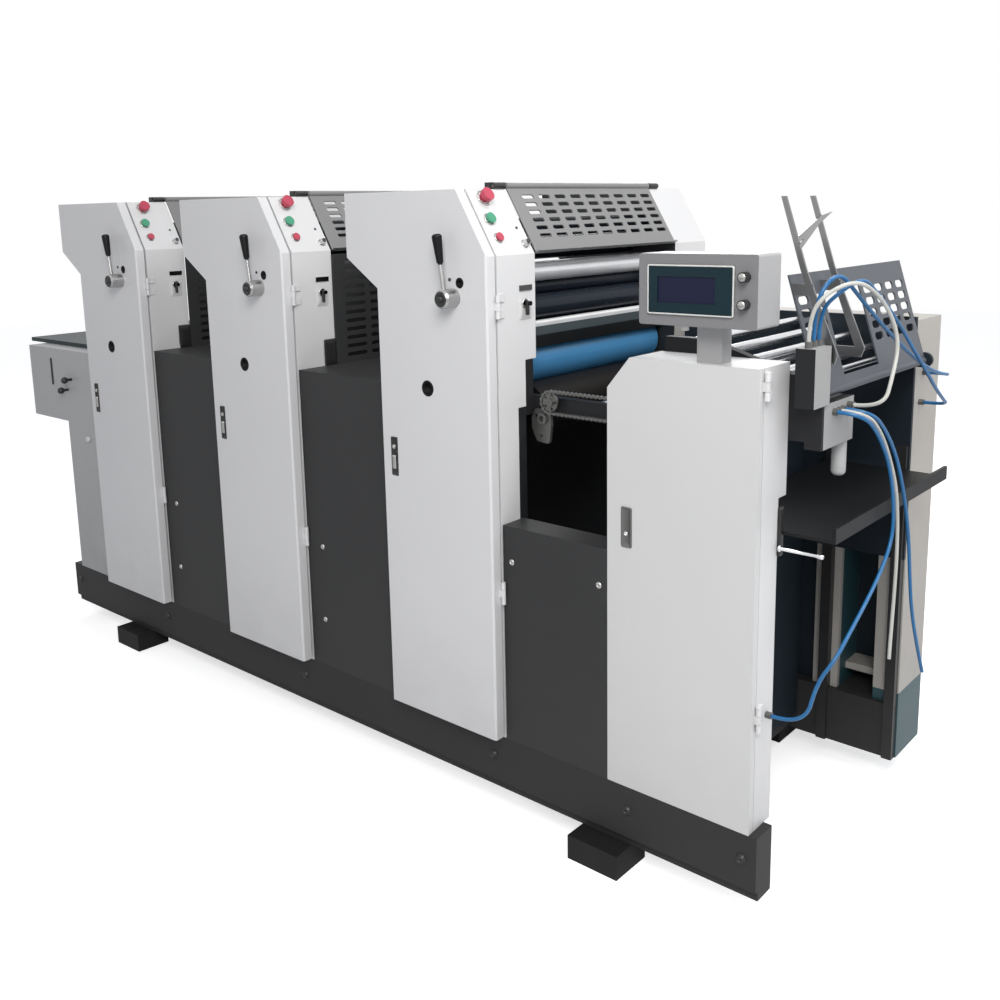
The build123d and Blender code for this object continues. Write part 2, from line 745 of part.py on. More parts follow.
# Drive-side frame of the delivery: a rail, and posts with a casting behind each front cover
with BuildPart() as drive_frame:
    rail_top = tower_top - drive_rail_top_drop
    rail_under = rail_top - drive_rail_height
    last_post = drive_post_places[-1]
    block((last + tower_width, last_post + drive_post_width), (drive_inner, drive_outer),
        (rail_under, rail_top))
    for x in drive_post_places[:-1]:
        block((x, x + drive_post_width), (drive_inner, drive_inner + post_cover_thick),
            (beam_top, rail_under))
    block((last_post, last_post + drive_post_width), (drive_inner, drive_outer),
          (beam_top + post_foot_rise, rail_under))
save(drive_frame, "delivery_drive_frame")
with BuildPart() as post_castings:
    for x in drive_post_places[:-1]:
        block((x, x + drive_post_width), (drive_inner + post_cover_thick, drive_outer),
            (beam_top, rail_under))
    block((last_post, last_post + drive_post_width), (drive_inner, drive_outer),
          (beam_low, beam_top + post_foot_rise))
save(post_castings, "delivery_post_feet")

# Dark panels that close the bays of that frame, and one across the press before the pile table
bay_ends = (last + tower_width,) + tuple(x + drive_post_width for x in drive_post_places[:-1])
with BuildPart() as back_panels:
    for left, right, setback in zip(bay_ends, drive_post_places, bay_setbacks):
        front = drive_inner + setback
        block((left + fit_gap, right - fit_gap), (front, front + bay_panel_thick),
            (beam_top, rail_under - fit_gap))
    block((cross_end, cross_end + back_panel_thick), (tower_back, drive_outer - rear_depth),
          (beam_low + toe_height + cross_drop, tower_top - back_panel_top_drop))
save(back_panels, "delivery_back_panels")
with BuildPart() as shelf:
    shelf_z = beam_top + shelf_rise
    block((bay_ends[-1] + fit_gap, last_post - fit_gap),
        (drive_inner + shelf_setback, drive_inner + bay_setbacks[-1]),
          (shelf_z - shelf_thick, shelf_z))
save(shelf, "delivery_shelf")

# Shafts across the delivery end and the black exit roller
with BuildPart() as delivery_shafts:
    for x, drop, radius in shaft_places:
        rod(x, tower_top - drop, (plate_y[1], panel_face), radius)
save(delivery_shafts, "delivery_shafts")
with BuildPart() as exit_roller:
    exit_z = tower_top - exit_roller_drop
    rod(exit_roller_x, exit_z, (plate_y[1] + end_gap, panel_face - end_gap), exit_roller_radius)
    rod(exit_roller_x, exit_z, (plate_y[1], panel_face), exit_roller_radius / 2)
save(exit_roller, "exit_roller")

# Black bars on the drive side that the pile table runs on
table_z = tower_top - table_drop
panel_low = tower_top - inner_panel_low_drop
with BuildPart() as table_rails:
    for x in table_rail_places:
        sides = (x, x + table_rail_width)
        block(sides, (table_rail_front, panel_face), (panel_low, table_z + table_rail_rise))
        block(sides, (table_rail_front, drive_inner), (beam_top, panel_low))
        block(sides, (table_rail_front, drive_outer - rear_depth), (beam_low, beam_top))
save(table_rails, "table_rails")

# Pile table with a rim, and a shoe around each bar
with BuildPart() as pile_table:
    block((table_left, table_right), (table_front, table_back), (table_z, table_z + table_thick))
    block((table_right - table_thick, table_right), (table_front, table_back),
        (table_z, table_z + table_rim))
    for x in table_rail_places:
        sides = (x - table_thick, x + table_rail_width + table_thick)
        block(sides, (table_back - table_thick, table_rail_front + shoe_reach),
              (table_z - shoe_height, table_z + table_thick))
        block((x - shoe_gap, x + table_rail_width + shoe_gap), (table_rail_front - shoe_gap, panel_face),
              (table_z - shoe_height - 1, table_z + table_thick + 1), Mode.SUBTRACT)
save(pile_table, "pile_table")

# Raised slotted guard with its two guide bars, hinged along its low edge
raised_top = tower_top - raised_top_drop
raised_low = tower_top - raised_low_drop
raised_angle = degrees(atan2(raised_top - raised_low, raised_low_x - raised_top_x))
raised_length = hypot(raised_top - raised_low, raised_low_x - raised_top_x)
raised_middle = (plate_y[1] + panel_face) / 2
raised_width = panel_face - plate_y[1] - 2 * end_gap
raised_plane = Plane(
    origin=(raised_low_x, raised_middle, raised_low), x_dir=(0, 1, 0),
    z_dir=(sin(radians(raised_angle)), 0, cos(radians(raised_angle))))
with BuildPart() as delivery_guard:
    with BuildSketch(raised_plane):
        with Locations((0, raised_length / 2)):
            Rectangle(raised_width, raised_length)
        with Locations(((raised_left - raised_right) / 2,
                (raised_length + raised_low_strip - raised_high_strip) / 2)):
            Rectangle(raised_width - raised_left - raised_right,
                raised_length - raised_low_strip - raised_high_strip,
                      mode=Mode.SUBTRACT)
        wings = ((raised_left - raised_width) / 2, (raised_width - raised_right) / 2)
        for wing, columns in zip(wings, raised_columns):
            with Locations((wing, raised_length / 2 + 15)):
                with GridLocations(raised_slot_pitch, raised_pitch, columns, raised_rows):
                    SlotOverall(raised_slot_long, raised_slot_high, mode=Mode.SUBTRACT)
    extrude(amount=guard_thick)
    rod(raised_low_x, raised_axis_z, (raised_middle - raised_width / 2, raised_middle + raised_width / 2),
        guard_tube_radius)
    rod(raised_low_x, raised_axis_z, (plate_y[1] - 14, drive_inner - 1), guard_pin_radius)
save(delivery_guard, "delivery_guard")

# Guide bars standing off the raised guard on brackets, tied by two slanting strips
guide_bar_y = (plate_y[1] + end_gap, plate_y[1] + end_gap + guide_bar_spacing)
face_slope = tan(radians(raised_angle))
face_shift = guard_thick / sin(radians(raised_angle))
with BuildPart() as guide_bars:
    for y in guide_bar_y:
        sides = (y, y + guide_bar_thick)
        panel([(raised_low_x + x, raised_low + z) for x, z in guide_bar_points], sides)
        for rise in guide_bracket_rises:
            low, high = rise - guide_bracket_half, rise + guide_bracket_half
            faces = [(raised_low_x - z / face_slope + face_shift, raised_low + z) for z in (low, high)]
            end_x = raised_low_x + guide_bracket_end - rise * guide_bracket_lean
            panel((*faces, (end_x, raised_low + high), (end_x, raised_low + low)), sides)
    high_x, high_z = guide_bar_points[1]
    low_x, low_z = guide_bar_points[2]
    bar_length = hypot(high_x - low_x, high_z - low_z)
    strip_plane = Plane(
        origin=(raised_low_x + low_x - 2, guide_bar_y[0], raised_low + low_z), x_dir=(0, 1, 0),
        z_dir=((high_z - low_z) / bar_length, 0, (low_x - high_x) / bar_length))
    for strip in guide_strips:
        with BuildSketch(strip_plane):
            with BuildLine():
                Polyline(*strip, close=True)
            make_face()
        extrude(amount=4)
save(guide_bars, "guide_bars")

# Gripper bracket hanging on the chain rail, and the two sprockets beside it
rail_x = last + tower_width
sprocket_x = (rail_x + sprocket_near, cab_left - sprocket_far)
bracket_front = plate_y[0] - gripper_thick
chain_y = (plate_y[0] - chain_front, plate_y[0] - chain_front + chain_width)
sprocket_z = tower_top - sprocket_drop
with BuildPart() as gripper_drive:
    with BuildSketch(Plane.XZ.offset(-bracket_front)) as bracket_shape:
        with BuildLine():
            Polyline(*[(rail_x + x, rail_low + z) for x, z in gripper_points], close=True)
        make_face()
        fillet(bracket_shape.vertices(), gripper_corner)
        with Locations((rail_x + gripper_hole[0], rail_low + gripper_hole[1])):
            Circle(gripper_hole[2], mode=Mode.SUBTRACT)
        with Locations((rail_x + gripper_slot[0], rail_low + gripper_slot[1])):
            SlotOverall(gripper_slot[2], gripper_slot[3], mode=Mode.SUBTRACT)
    extrude(amount=-gripper_thick)
    ring_x = rail_x + gripper_ring[0]
    ring_z = rail_low + gripper_ring[1]
    ring_front = bracket_front - gripper_ring_length
    rod(ring_x, ring_z, (ring_front, bracket_front), gripper_ring[2])
    rod(ring_x, ring_z, (ring_front - 1, bracket_front + 4), gripper_ring[3], Mode.SUBTRACT)
    for x in sprocket_x:
        rod(x, sprocket_z, (chain_y[0] + 2, chain_y[1] - 2), sprocket_radius)
        rod(x, sprocket_z, (chain_y[0] - 4, plate_y[0]), sprocket_hub)
        with Locations((x, 0, sprocket_z)):
            with Locations(Rotation(90, 0, 0)):
                with PolarLocations(sprocket_hole_ring + chain_band / 2, sprocket_holes):
                    Cylinder(sprocket_hole_radius, 2 * plate_y[0], mode=Mode.SUBTRACT)
save(gripper_drive, "gripper_drive")

# Chain around the two sprockets: a band with a bushing at each link
with BuildPart() as gripper_chain:
    centre_x = (sprocket_x[0] + sprocket_x[1]) / 2
    span = sprocket_x[1] - sprocket_x[0]
    with BuildSketch(Plane.XZ.offset(-chain_y[0])) as loop:
        with Locations((centre_x, sprocket_z)):
            SlotCenterToCenter(span, 2 * chain_line + chain_band)
            SlotCenterToCenter(span, 2 * chain_line - chain_band, mode=Mode.SUBTRACT)
            with GridLocations(span / (chain_links - 1), 2 * chain_line, chain_links, 2):
                Circle(chain_roller)
        for x, start in zip(sprocket_x, (90, -90)):
            with Locations((x, sprocket_z)):
                with PolarLocations(chain_line, chain_end_links // 2, start, 180):
                    Circle(chain_roller)
    extrude(amount=-chain_width)
save(gripper_chain, "gripper_chain")

# Glands where the hoses start and end, and the bowl of the air regulator under the ledge
hose_points = {
    label: [(x, y, tower_top + z) for x, y, z in points]
    for label, points in hose_routes.items()}
with BuildPart() as hose_glands:
    ledge_face = end_block_left + end_ledge_width
    block_top = tower_top - end_block_drops[1]
    for route in hose_points.values():
        x, y, z = route[0]
        if z > block_top:
            pin(x, y, (block_top, z), gland_radius)
        else:
            with Locations(Location(((ledge_face + x) / 2, y, z), (0, 90, 0))):
                Cylinder(gland_radius, x - ledge_face)
    for label, face in (("air_hose_1", cab_right), ("air_hose_3", inner_panel_end),
        ("air_hose_4", inner_panel_end),
                        ("clear_hose_2", ledge_face)):
        x, y, z = hose_points[label][-1]
        with Locations(Location(((face + x) / 2, y, z), (0, 90, 0))):
            Cylinder(gland_radius, x - face)
save(hose_glands, "hose_glands")
with BuildPart() as regulator:
    ledge_low = tower_top - end_ledge_low_drop
    pin(*regulator_place, (ledge_low - regulator_length, ledge_low), regulator_radius)
    fillet(regulator.edges().filter_by(GeomType.CIRCLE).sort_by(Axis.Z)[0], 12)
save(regulator, "air_regulator")

# Air hoses of the delivery end
for label, points in hose_points.items():
    with BuildPart() as air_hose:
        hose(label, points)
    save(air_hose, label)
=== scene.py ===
import math
import bpy
import numpy as np
from mathutils import Matrix


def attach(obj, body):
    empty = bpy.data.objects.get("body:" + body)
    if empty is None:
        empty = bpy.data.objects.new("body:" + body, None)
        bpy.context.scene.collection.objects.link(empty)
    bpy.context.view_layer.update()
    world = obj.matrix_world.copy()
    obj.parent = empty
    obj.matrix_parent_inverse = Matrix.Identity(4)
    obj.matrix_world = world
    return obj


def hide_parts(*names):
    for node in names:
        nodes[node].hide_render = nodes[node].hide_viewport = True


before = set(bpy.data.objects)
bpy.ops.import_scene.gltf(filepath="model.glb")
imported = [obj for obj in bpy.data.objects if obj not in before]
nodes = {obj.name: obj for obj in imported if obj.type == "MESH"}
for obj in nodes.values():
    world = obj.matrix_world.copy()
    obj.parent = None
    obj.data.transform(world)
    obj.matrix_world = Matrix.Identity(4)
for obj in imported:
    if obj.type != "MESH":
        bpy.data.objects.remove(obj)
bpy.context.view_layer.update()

# Camera at the photographed view: operator side on the left, delivery end on the right.
# Its lens, place and turn come from the straight edges and the equal spacing of the three units.
press_middle = (1227.0, 541.0)


def at(x, y, z):
    """Metres in the shared frame from millimetres off the first door's left edge, its face and the floor."""
    return ((x - press_middle[0]) / 1000.0, (y - press_middle[1]) / 1000.0, z / 1000.0)


def pose(item, across, up, away, place):
    """Put an object into the scene at a place, with its own x, y and z along across, up and away."""
    grid = np.eye(4)
    grid[:3] = np.column_stack([across, up, away, place])
    item.matrix_world = Matrix(grid.tolist())
    bpy.context.scene.collection.objects.link(item)


view_data = bpy.data.cameras.new("press_view")
view_data.sensor_width = 36.0
view_data.lens = 37.906
view_data.shift_x = 0.01105
view_data.shift_y = -0.09556
view_data.clip_start = 0.05
view_data.clip_end = 60.0
view_camera = bpy.data.objects.new("press_view", view_data)
heading, dip, lean = -0.7239, 0.1834, 0.0219
ahead = np.array([math.sin(heading) * math.cos(dip), math.cos(heading) * math.cos(dip), -math.sin(dip)])
level = np.array([math.cos(heading), -math.sin(heading), 0.0])
below = np.cross(ahead, level)
pose(view_camera, math.cos(lean) * level + math.sin(lean) * below,
     math.sin(lean) * level - math.cos(lean) * below, -ahead, at(3920.3, -1983.7, 1658.7))
bpy.context.scene.camera = view_camera
bpy.context.scene.view_settings.view_transform = "Standard"

# Air hoses of the delivery end: extruded polyurethane tube, blue or milky, pushed into metal glands.
# Each is a round tube along one smooth spline, with the points of its route as control points.
hose_width = 0.009


def wire(tree, *pairs):
    """Join sockets two by two."""
    for out_socket, in_socket in pairs:
        tree.links.new(out_socket, in_socket)


def add(tree, kind, values=(), **settings):
    """One shader node with its settings, and then the values of its sockets."""
    node = tree.nodes.new("ShaderNode" + kind)
    for label, setting in settings.items():
        setattr(node, label, setting)
    for label, value in dict(values).items():
        node.inputs[label].default_value = value
    return node


def coat(name, values):
    """A new material, its node tree, and its shader with the values that are the same all over."""
    look = bpy.data.materials.new(name)
    look.use_nodes = True
    shader = look.node_tree.nodes["Principled BSDF"]
    for label, value in values.items():
        shader.inputs[label].default_value = value
    return look, look.node_tree, shader


def shade(colour, factor):
    """The colour times a factor, with full cover."""
    return (*[min(1.0, part * factor) for part in colour], 1.0)


def tubing(name, colour, milky):
    """Soft extruded tube: colour drifts with slow noise, ripples are faint bump, and some light gets in."""
    look, tree, shader = coat(name, {"Subsurface Weight": milky, "Subsurface Radius": (0.004, 0.004, 0.004)})
    place = add(tree, "TexCoord")
    slow = add(tree, "TexNoise", {"Scale": 9.0, "Detail": 5.0})
    tone = add(tree, "Mix", {"A": shade(colour, 0.75), "B": shade(colour, 1.25)}, data_type="RGBA")
    gloss = add(tree, "MapRange", {"To Min": 0.24, "To Max": 0.42})
    ripple = add(tree, "TexNoise", {"Scale": 300.0})
    bump = add(tree, "Bump", {"Strength": 0.15, "Distance": 0.0004})
    wire(tree, (place.outputs["Object"], slow.inputs["Vector"]),
         (place.outputs["Object"], ripple.inputs["Vector"]), (slow.outputs["Fac"], tone.inputs["Factor"]),
         (tone.outputs["Result"], shader.inputs["Base Color"]),
         (slow.outputs["Fac"], gloss.inputs["Value"]), (gloss.outputs["Result"], shader.inputs["Roughness"]),
         (ripple.outputs["Fac"], bump.inputs["Height"]), (bump.outputs["Normal"], shader.inputs["Normal"]))
    return look


def hose(label, look, points):
    """A round tube along one smooth spline with the route's points as its control points."""
    curve = bpy.data.curves.new(label + "_tube", "CURVE")
    curve.dimensions = "3D"
    curve.bevel_depth = hose_width / 2
    curve.bevel_resolution = 3
    curve.resolution_u = 10
    curve.use_fill_caps = True
    spline = curve.splines.new("NURBS")
    spline.points.add(len(points) - 1)
    weighted = np.column_stack([np.array([at(*point) for point in points]), np.ones(len(points))])
    spline.points.foreach_set("co", weighted.ravel())
    spline.order_u = 3
    spline.use_endpoint_u = True
    curve.materials.append(look)
    piece = bpy.data.objects.new(label + "_tube", curve)
    bpy.context.scene.collection.objects.link(piece)
    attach(piece, "press")
    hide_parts(label)


blue_tube = tubing("blue_tube", (0.010, 0.125, 0.31), 0.1)
milky_tube = tubing("milky_tube", (0.50, 0.50, 0.47), 0.35)
hose("air_hose_1", blue_tube, (
    (2985, 240, 1200), (3044, 240, 1200), (3048, 318, 1145), (3048, 392, 1062), (3048, 432, 965),
    (3048, 436, 872), (3048, 370, 806), (3048, 288, 756), (3048, 203, 712), (3044, 138, 668),
    (3012, 120, 612), (2990, 112, 503), (2911, 112, 503)))
hose("clear_hose_1", milky_tube, (
    (2985, 262, 1200), (3044, 262, 1200), (3045, 342, 1143), (3041, 415, 1066), (3042, 459, 990),
    (3042, 478, 915), (3042, 485, 830), (3042, 483, 745), (3042, 475, 650), (3042, 468, 555)))
hose("air_hose_2", blue_tube, (
    (2985, 284, 1200), (3044, 284, 1200), (3046, 362, 1147), (3045, 435, 1078), (3045, 485, 1000),
    (3045, 527, 915), (3045, 556, 828), (3045, 574, 740), (3045, 598, 645), (3045, 644, 545),
    (3045, 705, 437)))
hose("air_hose_3", blue_tube, (
    (2957, 165, 1366), (2957, 165, 1422), (2970, 166, 1476), (2990, 210, 1512), (3003, 281, 1456),
    (3005, 365, 1408), (3005, 446, 1366), (3003, 540, 1323), (3001, 624, 1286), (3000, 712, 1251),
    (2999, 800, 1222), (2997, 880, 1203), (2996, 952, 1192), (2936, 952, 1192)))
hose("air_hose_4", blue_tube, (
    (2957, 190, 1366), (2957, 190, 1428), (3000, 196, 1472), (3022, 262, 1496), (3020, 335, 1462),
    (3019, 415, 1420), (3018, 505, 1366), (3019, 594, 1302), (3018, 688, 1240), (3015, 775, 1182),
    (3008, 860, 1140), (2998, 932, 1112), (2936, 932, 1112)))
hose("clear_hose_2", milky_tube, (
    (2957, 140, 1366), (2957, 140, 1424), (2990, 150, 1472), (3026, 215, 1494), (3036, 300, 1462),
    (3044, 372, 1408), (3056, 394, 1340), (3056, 362, 1268), (3056, 318, 1205), (2989, 318, 1205)))

# Studio: a pale floor that keeps the shadow, a white background and four large soft lamps.
# The background is white to the camera, to mirrors and through glass, and dim to all other light.
room_light, floor_glow, floor_reach = 0.36, 0.62, 14.0
world = bpy.data.worlds.new("studio_air")
bpy.context.scene.world = world
world.use_nodes = True
air = world.node_tree
air.nodes.clear()
air_out = add(air, "OutputWorld")
air_mix = add(air, "MixShader")
air_dim = add(air, "Background", {"Color": (0.93, 0.95, 1.0, 1), "Strength": room_light})
air_white = add(air, "Background", {"Color": (1, 1, 1, 1), "Strength": 1.0})
air_rays = add(air, "LightPath")
air_seen = add(air, "Math", operation="MAXIMUM")
air_mirrored = add(air, "Math", operation="MAXIMUM")
wire(air, (air_rays.outputs["Is Camera Ray"], air_seen.inputs[0]),
     (air_rays.outputs["Is Transmission Ray"], air_seen.inputs[1]),
     (air_seen.outputs[0], air_mirrored.inputs[0]),
     (air_rays.outputs["Is Glossy Ray"], air_mirrored.inputs[1]),
     (air_mirrored.outputs[0], air_mix.inputs[0]),
     (air_dim.outputs[0], air_mix.inputs[1]), (air_white.outputs[0], air_mix.inputs[2]),
     (air_mix.outputs[0], air_out.inputs["Surface"]))

floor_look, floor_tree, floor_shader = coat("pale_floor", {
    "Base Color": (0.86, 0.86, 0.865, 1), "Roughness": 0.75, "Emission Color": (1, 1, 1, 1)})
floor_rays = add(floor_tree, "LightPath")
floor_lift = add(floor_tree, "Math", {1: floor_glow}, operation="MULTIPLY")
wire(floor_tree, (floor_rays.outputs["Is Camera Ray"], floor_lift.inputs[0]),
     (floor_lift.outputs[0], floor_shader.inputs["Emission Strength"]))
floor_mesh = bpy.data.meshes.new("studio_floor")
floor_corners = [(x * floor_reach, y * floor_reach, 0) for x, y in ((-1, -1), (1, -1), (1, 1), (-1, 1))]
floor_mesh.from_pydata(floor_corners, [], [(0, 1, 2, 3)])
floor_mesh.materials.append(floor_look)
floor = bpy.data.objects.new("studio_floor", floor_mesh)
bpy.context.scene.collection.objects.link(floor)


def soft_lamp(name, place, target, size, power, colour=(1, 1, 1)):
    """A square lamp at a place that shines towards a target."""
    data = bpy.data.lights.new(name, "AREA")
    data.size = size
    data.energy = power
    data.color = colour
    away = np.array(place) - np.array(target)
    away = away / np.linalg.norm(away)
    across = np.cross((0, 0, 1), away)
    across = across / np.linalg.norm(across)
    pose(bpy.data.objects.new(name, data), across, np.cross(away, across), away, place)


soft_lamp("key_lamp", (3.0, -2.9, 3.4), (1.4, 0, 0.9), size=1.8, power=112, colour=(1.0, 0.99, 0.97))
soft_lamp("top_lamp", (2.8, 0.1, 4.3), (0.7, 0, 1.0), size=1.8, power=70)
soft_lamp("delivery_lamp", (4.4, 1.2, 1.8), (1.4, 0, 1.0), size=1.8, power=20)
soft_lamp("back_lamp", (-2.6, 4.6, 3.6), (0, 0, 0.9), size=3.0, power=120, colour=(0.97, 0.98, 1.0))

# Base frame: welded steel beams and skids in near-black enamel, dusty on top and scuffed low down, with
# painted shade below the beam's bottom edge.
# Towers, covers and posts stand on it, held by black socket bolts through the beam on the operator side.
beam_low, beam_front, beam_bolt_z = 66.0, 40.0, 165.0
unit_lefts = [820.0 * number for number in range(3)]
operator_side, drive_side, feed_end, delivery_end = (0, -1, 0), (0, 1, 0), (-1, 0, 0), (1, 0, 0)
sunk, tip = -0.4, 0.05
socket_bolt = ((13, sunk), (13, 1.6), (9.5, 1.8), (9.5, 6.6), (8.4, 7.4), (4.6, 7.4), (4.6, 3.2), (tip, 3.2))


def zone(colour, x=(None, None), y=(None, None), z=(None, None), facing=None):
    """A zone of a finish: its colour, its limits in millimetres each way, and the normal of its faces."""
    limits = [[value if value is None else (value - middle) / 1000.0 for value in pair]
              for pair, middle in zip((x, y, z), (*press_middle, 0.0))]
    return colour, limits, facing


def zoned(tree, place, colour_socket, zones):
    """Colour that changes in zones: a product of tests on place and normal mixes in each zone's colour."""
    split = add(tree, "SeparateXYZ")
    wire(tree, (place.outputs["Object"], split.inputs[0]))
    for colour, limits, facing in zones:
        terms = []
        for axis, pair in zip("XYZ", limits):
            for value, operation in zip(pair, ("GREATER_THAN", "LESS_THAN")):
                if value is not None:
                    test = add(tree, "Math", {1: value}, operation=operation)
                    wire(tree, (split.outputs[axis], test.inputs[0]))
                    terms.append(test.outputs[0])
        if facing:
            dot = add(tree, "VectorMath", {1: facing}, operation="DOT_PRODUCT")
            test = add(tree, "Math", {1: 0.7}, operation="GREATER_THAN")
            wire(tree, (place.outputs["Normal"], dot.inputs[0]), (dot.outputs["Value"], test.inputs[0]))
            terms.append(test.outputs[0])
        factor = terms[0]
        for term in terms[1:]:
            both = add(tree, "Math", operation="MULTIPLY")
            wire(tree, (factor, both.inputs[0]), (term, both.inputs[1]))
            factor = both.outputs[0]
        swap = add(tree, "Mix", {"B": (*colour, 1)}, data_type="RGBA")
        wire(tree, (factor, swap.inputs["Factor"]), (colour_socket, swap.inputs["A"]))
        colour_socket = swap.outputs["Result"]
    return colour_socket


def enamel(name, colour, roughness, peel=0.3, drift=0.06, grime=0.0, grime_low=0.0, grime_high=0.3, zones=(),
           shine=0.5):
    """Sprayed enamel: colour times one plus slow noise, with fine peel as bump.

    Soil, times blots of noise, grows from none at the height grime_high to its full share at grime_low."""
    look, tree, shader = coat(name, {"Specular IOR Level": shine})
    place = add(tree, "TexCoord")
    slow = add(tree, "TexNoise", {"Scale": 2.6, "Detail": 6.0, "Roughness": 0.62})
    fine = add(tree, "TexNoise", {"Scale": 420.0, "Detail": 3.0})
    tone = add(tree, "MapRange", {"To Min": 1.0 - drift, "To Max": 1.0 + drift})
    tinted = add(tree, "Mix", {"Factor": 1.0, "A": (*colour, 1)}, data_type="RGBA", blend_type="MULTIPLY")
    wire(tree, (place.outputs["Object"], slow.inputs["Vector"]),
         (place.outputs["Object"], fine.inputs["Vector"]),
         (slow.outputs["Fac"], tone.inputs["Value"]), (tone.outputs["Result"], tinted.inputs["B"]))
    last_colour = zoned(tree, place, tinted.outputs["Result"], zones)
    if grime > 0:
        split = add(tree, "SeparateXYZ")
        low = add(tree, "MapRange", {"From Min": grime_high, "From Max": grime_low})
        blot = add(tree, "TexNoise", {"Scale": 9.0, "Detail": 8.0})
        both = add(tree, "Math", operation="MULTIPLY")
        amount = add(tree, "Math", {1: grime}, operation="MULTIPLY")
        soil = add(tree, "Mix", {"B": (0.05, 0.048, 0.045, 1)}, data_type="RGBA")
        wire(tree, (place.outputs["Object"], split.inputs[0]), (split.outputs["Z"], low.inputs["Value"]),
             (place.outputs["Object"], blot.inputs["Vector"]), (low.outputs["Result"], both.inputs[0]),
             (blot.outputs["Fac"], both.inputs[1]), (both.outputs[0], amount.inputs[0]),
             (amount.outputs[0], soil.inputs["Factor"]), (last_colour, soil.inputs["A"]))
        last_colour = soil.outputs["Result"]
    gloss = add(tree, "MapRange", {"To Min": roughness - 0.07, "To Max": roughness + 0.07})
    rounding = add(tree, "Bevel", {"Radius": 0.0015}, samples=4)
    bump = add(tree, "Bump", {"Strength": peel, "Distance": 0.0006})
    wire(tree, (last_colour, shader.inputs["Base Color"]), (slow.outputs["Fac"], gloss.inputs["Value"]),
         (gloss.outputs["Result"], shader.inputs["Roughness"]), (fine.outputs["Fac"], bump.inputs["Height"]),
         (rounding.outputs["Normal"], bump.inputs["Normal"]),
         (bump.outputs["Normal"], shader.inputs["Normal"]))
    return look


def nylon(name, colour, roughness, zones=(), shine=0.5):
    """Moulded plastic: colour that drifts with slow noise, fine leathery cells as bump, and uneven sheen."""
    look, tree, shader = coat(name, {"Specular IOR Level": shine})
    place = add(tree, "TexCoord")
    grain = add(tree, "TexVoronoi", {"Scale": 260.0})
    slow = add(tree, "TexNoise", {"Scale": 14.0, "Detail": 5.0})
    tone = add(tree, "Mix", {"A": shade(colour, 0.8), "B": shade(colour, 1.25)}, data_type="RGBA")
    gloss = add(tree, "MapRange", {"To Min": roughness - 0.1, "To Max": roughness + 0.1})
    bump = add(tree, "Bump", {"Strength": 0.25, "Distance": 0.0005})
    wire(tree, (place.outputs["Object"], grain.inputs["Vector"]),
         (place.outputs["Object"], slow.inputs["Vector"]), (slow.outputs["Fac"], tone.inputs["Factor"]),
         (zoned(tree, place, tone.outputs["Result"], zones), shader.inputs["Base Color"]),
         (slow.outputs["Fac"], gloss.inputs["Value"]), (gloss.outputs["Result"], shader.inputs["Roughness"]),
         (grain.outputs["Distance"], bump.inputs["Height"]),
         (bump.outputs["Normal"], shader.inputs["Normal"]))
    return look


def dress(look, *names):
    """Give CAD nodes one finish in all their slots."""
    for label in names:
        mesh = nodes[label].data
        if not mesh.materials:
            mesh.materials.append(look)
        for k in range(len(mesh.materials)):
            mesh.materials[k] = look


def basis(axis):
    """Two directions across an axis, so that across, up and axis are right-handed and of length one."""
    axis = np.array(axis, float) / np.linalg.norm(axis)
    guess = np.array((0.0, 0.0, 1.0)) if abs(axis[2]) < 0.9 else np.array((0.0, 1.0, 0.0))
    across = np.cross(guess, axis)
    across /= np.linalg.norm(across)
    return across, np.cross(axis, across), axis


def skin(name, rings, bored, look, body):
    """One closed mesh from an array of places, rings and points: four-sided faces join each ring to the next.

    A bored piece joins its last ring back to its first, and any other piece has a flat end on both."""
    places, count, around = rings.shape[:3]
    low = np.arange(places * count * around).reshape(places, count, around)
    high = np.roll(low, -1, axis=1)
    sides = np.stack([low, np.roll(low, -1, axis=2), np.roll(high, -1, axis=2), high], axis=-1)
    ends = np.empty((0, around), int)
    if not bored:
        sides = sides[:, :-1]
        ends = np.concatenate([low[:, 0, ::-1], low[:, -1]])
    corners = np.concatenate([sides.ravel(), ends.ravel()]).astype(np.int32)
    starts = np.concatenate([np.arange(0, sides.size, 4), sides.size + np.arange(0, ends.size, around)])
    mesh = bpy.data.meshes.new(name)
    mesh.vertices.add(low.size)
    mesh.vertices.foreach_set("co", rings.astype(np.float32).ravel())
    mesh.loops.add(len(corners))
    mesh.loops.foreach_set("vertex_index", corners)
    mesh.polygons.add(len(starts))
    mesh.polygons.foreach_set("loop_start", starts.astype(np.int32))
    mesh.update(calc_edges=True)
    mesh.validate()
    mesh.materials.append(look)
    piece = bpy.data.objects.new(name, mesh)
    bpy.context.scene.collection.objects.link(piece)
    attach(piece, body)


def turned(name, profile, places, look, body, around=28):
    """Turned pieces: a profile of radius and height in millimetres runs around the axis at each place."""
    radius, height = np.array(profile, float).T[:, :, None, None]
    angle = np.linspace(0, 2 * np.pi, around, endpoint=False)[:, None]
    rings = []
    for centre, axis in places:
        across, up, out = basis(axis)
        offset = radius * (np.cos(angle) * across + np.sin(angle) * up) + height * out
        rings.append(np.array(at(*centre)) + offset / 1000.0)
    skin(name, np.array(rings), profile[-1][0] > 2 * tip, look, body)
